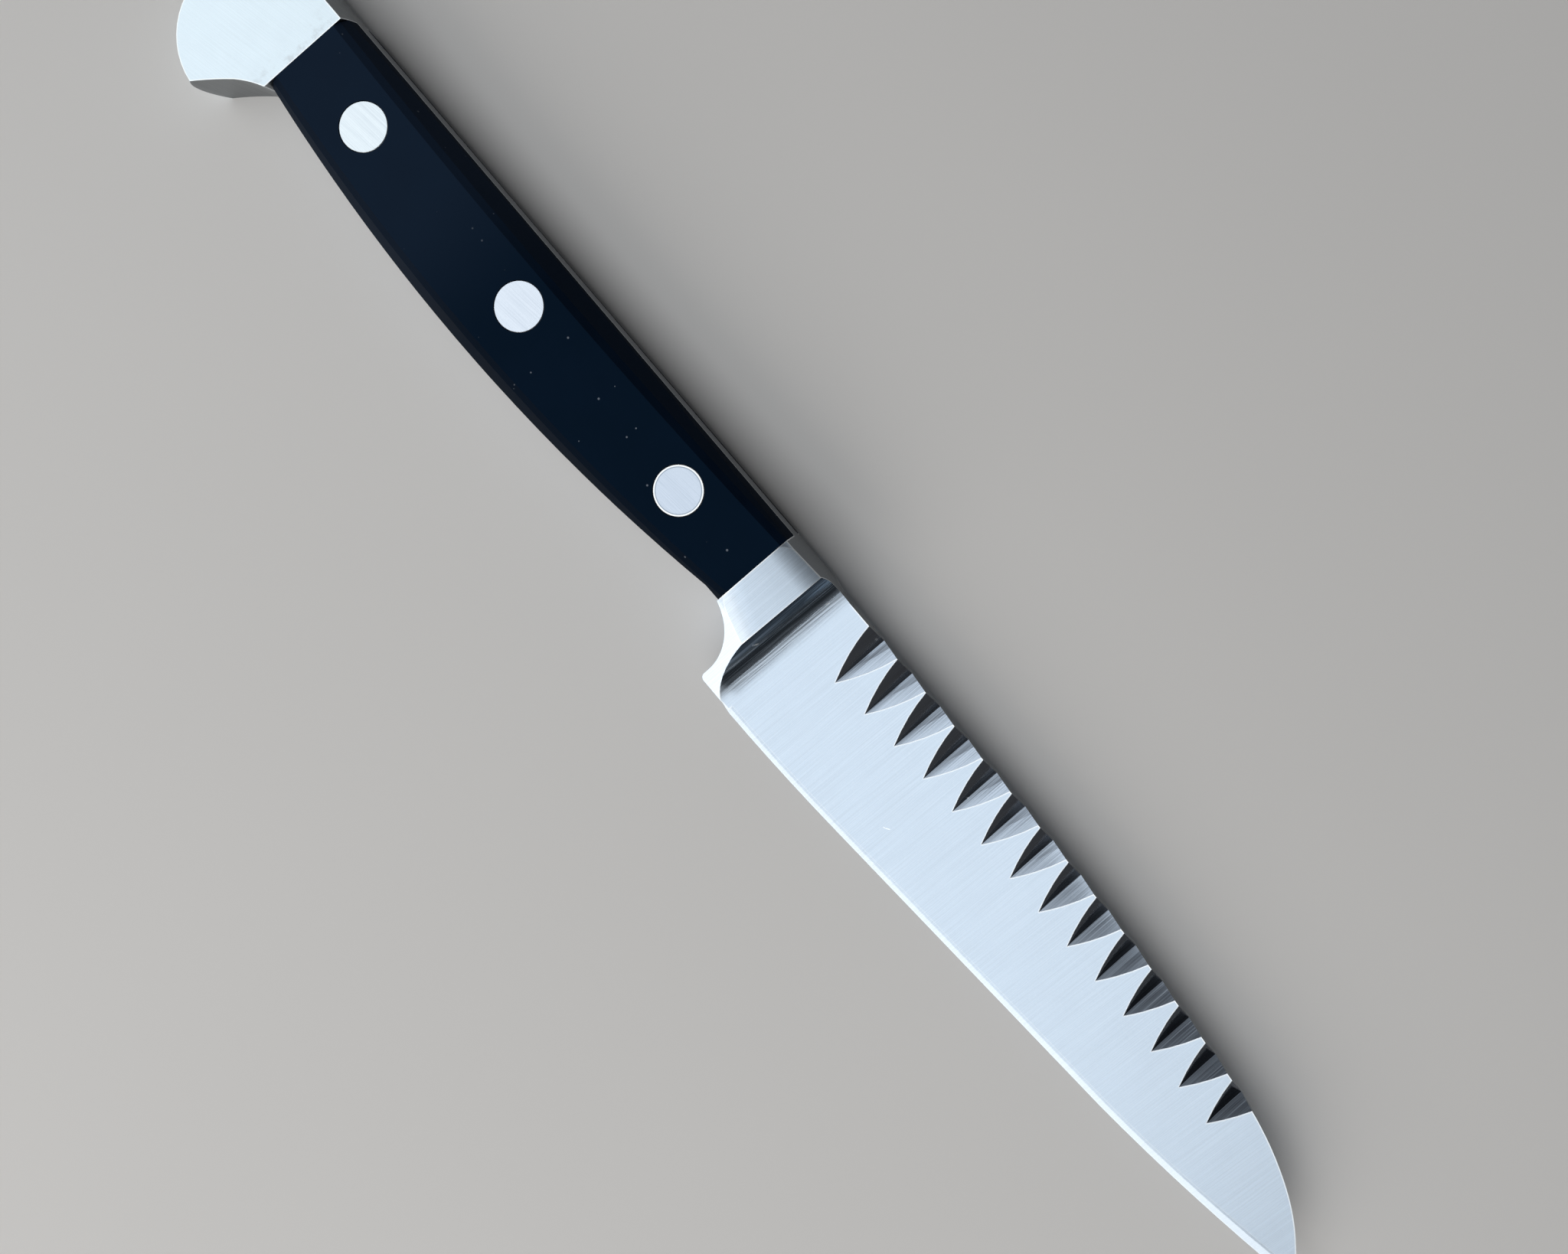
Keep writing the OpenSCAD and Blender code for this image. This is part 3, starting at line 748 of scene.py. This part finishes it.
def make_camera():
    data = bpy.data.cameras.new("camera")
    data.sensor_width = 36
    data.lens = CAMERA_LENS
    data.shift_y = CAMERA_SHIFT_Y
    data.clip_start = 0.005
    data.clip_end = 50
    camera = add_to_scene("camera", data)
    right = Vector(CAMERA_RIGHT).normalized()
    down = Vector(CAMERA_DOWN)
    up = -(down - right * right.dot(down)).normalized()
    turned = Matrix((right, up, right.cross(up))).transposed().to_4x4()
    spot = Vector(CAMERA_AT) + Vector((SEAM_X, BACK_Y, MIDDLE_Z))
    camera.matrix_world = Matrix.Translation(spot) @ turned
    bpy.context.scene.camera = camera


class KNIFE_OT_studio(bpy.types.Operator):
    """Sets up the plain pale floor, the soft lights and the photograph's camera"""

    bl_idname = "knife.studio"
    bl_label = "Studio"

    def execute(self, context):
        want = context.scene.knife_studio
        make_camera()
        make_floor(want)
        make_world(want)
        hang_softbox("overhead", want.overhead, *OVERHEAD_BOX)
        hang_softbox("front", want.front, *FRONT_BOX)
        context.scene.view_settings.view_transform = "Standard"
        return {"FINISHED"}


class KNIFE_PT_sidebar(bpy.types.Panel):
    """Lists the knife's pieces and their settings"""

    bl_idname = "KNIFE_PT_sidebar"
    bl_label = "Decorating knife"
    bl_space_type = "VIEW_3D"
    bl_region_type = "UI"
    bl_category = "Knife"

    def draw(self, context):
        for operator, settings, _ in STEPS:
            box = self.layout.box()
            box.operator(operator.bl_idname)
            group = getattr(context.scene, settings)
            for name in group.__annotations__:
                box.prop(group, name)


# Each step: its operator, and the name and kind of its settings
STEPS = (
    (KNIFE_OT_forging, "knife_steel", KnifeSteel),
    (KNIFE_OT_scales, "knife_scales", KnifeScales),
    (KNIFE_OT_rivets, "knife_rivets", KnifeRivets),
    (KNIFE_OT_studio, "knife_studio", KnifeStudio),
)


def register():
    for operator, settings, kind in STEPS:
        bpy.utils.register_class(kind)
        bpy.utils.register_class(operator)
        setattr(bpy.types.Scene, settings, bpy.props.PointerProperty(type=kind))
    bpy.utils.register_class(KNIFE_PT_sidebar)


def unregister():
    bpy.utils.unregister_class(KNIFE_PT_sidebar)
    for operator, settings, kind in reversed(STEPS):
        delattr(bpy.types.Scene, settings)
        bpy.utils.unregister_class(operator)
        bpy.utils.unregister_class(kind)


def main():
    register()
    build_grind_lines()
    build_specks()
    build_scratch()
    bpy.ops.knife.forging()
    bpy.ops.knife.scales()
    bpy.ops.knife.rivets()
    bpy.ops.knife.studio()


if __name__ == "__main__":
    main()
